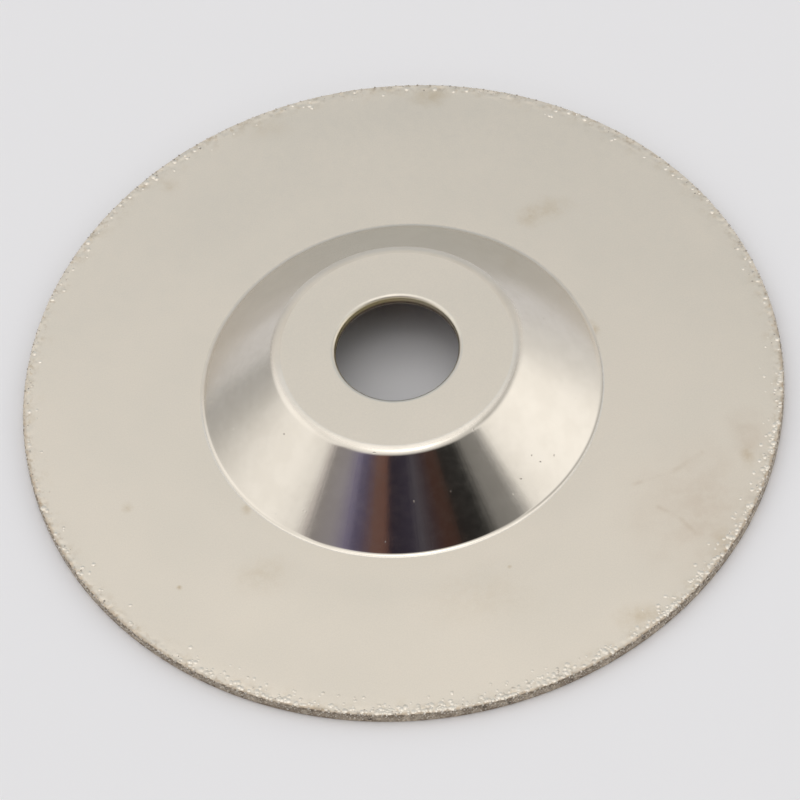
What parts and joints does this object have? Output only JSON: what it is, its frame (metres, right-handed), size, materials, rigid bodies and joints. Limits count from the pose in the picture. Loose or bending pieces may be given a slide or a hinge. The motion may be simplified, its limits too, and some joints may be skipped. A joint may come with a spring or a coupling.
{
  "type": "diamond grinding wheel",
  "caption": "Dished steel grinding wheel with a raised hollow boss and a central bore, nickel plated, with diamond grains bonded to its flat face and rim.",
  "frame": {"origin": "on the bore's axis, at the level of the tips of the grains on the working face, which is what the wheel lies on", "axes": "+Z along the bore's axis, from the diamond face towards the top of the boss; X and Y lie in the plane of the wheel, which is the same all round"},
  "size_m": [0.1, 0.1, 0.0107],
  "materials": {
    "steel": "cold rolled steel sheet, pressed and punched",
    "satin_nickel": "satin nickel plate, warm grey, with faint brown smudges",
    "bright_nickel": "bright nickel plate, polished where the sheet was drawn, with a few fine pits",
    "recess_nickel": "dull nickel plate",
    "nickel_bond": "matt electroplated nickel bond, grey brown",
    "diamond": "synthetic diamond grit with bright facets, about 60 grit"
  },
  "bodies": {
    "root": {"steel_blank": "steel", "back_plating": "satin_nickel", "seat_plating": "satin_nickel", "cone_plating": "bright_nickel", "bore_plating": "bright_nickel", "recess_plating": "recess_nickel", "face_bond": "nickel_bond", "rim_bond": "nickel_bond", "face_diamonds": "diamond", "rim_diamonds": "diamond", "margin_diamonds": "diamond"}
  },
  "joints": []
}
